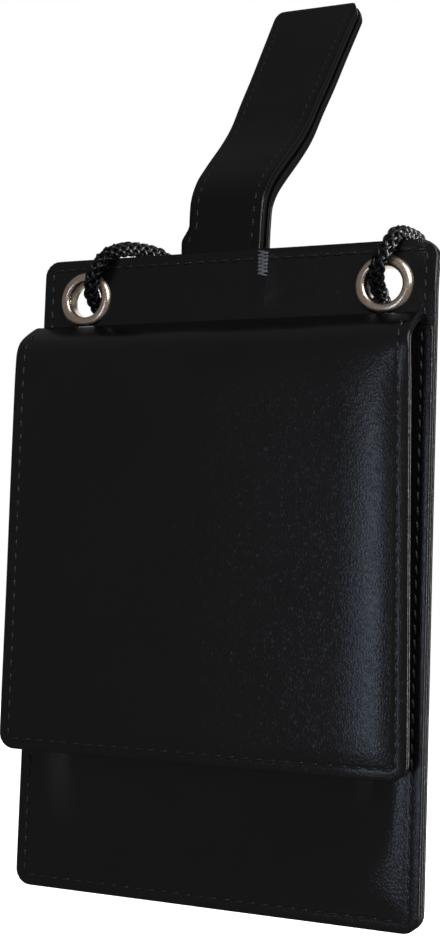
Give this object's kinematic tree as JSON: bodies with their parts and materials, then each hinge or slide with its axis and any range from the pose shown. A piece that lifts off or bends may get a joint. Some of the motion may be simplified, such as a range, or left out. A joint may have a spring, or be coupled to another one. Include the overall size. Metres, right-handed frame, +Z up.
{
  "type": "neck pouch",
  "caption": "Flat leather pouch worn on a neck cord, with a front pocket under a folded-over flap, metal eyelets for the cord and a doubled strap leaning back from its top edge.",
  "frame": {"origin": "on the panel's front face, midway between the centres of the eyelets", "axes": "+Z up along the panel, -Y out of the pouch's front, +X to the right as seen from the front"},
  "size_m": [0.105, 0.0797, 0.2473],
  "materials": {
    "leather": "black fine-grain leather, semi-matt",
    "strap_leather": "black leather with a faint brown tint, semi-matt",
    "nickel": "warm polished nickel plate",
    "cord": "black braided cord"
  },
  "bodies": {
    "root": {"back_panel": "leather", "front_pocket": "leather", "flap": "leather", "strap": "strap_leather", "eyelet_left": "nickel", "eyelet_right": "nickel", "cord_left": "cord", "cord_swags": "cord", "cord_right": "cord", "cord_knot_left": "cord", "cord_knot_right": "cord"}
  },
  "joints": []
}
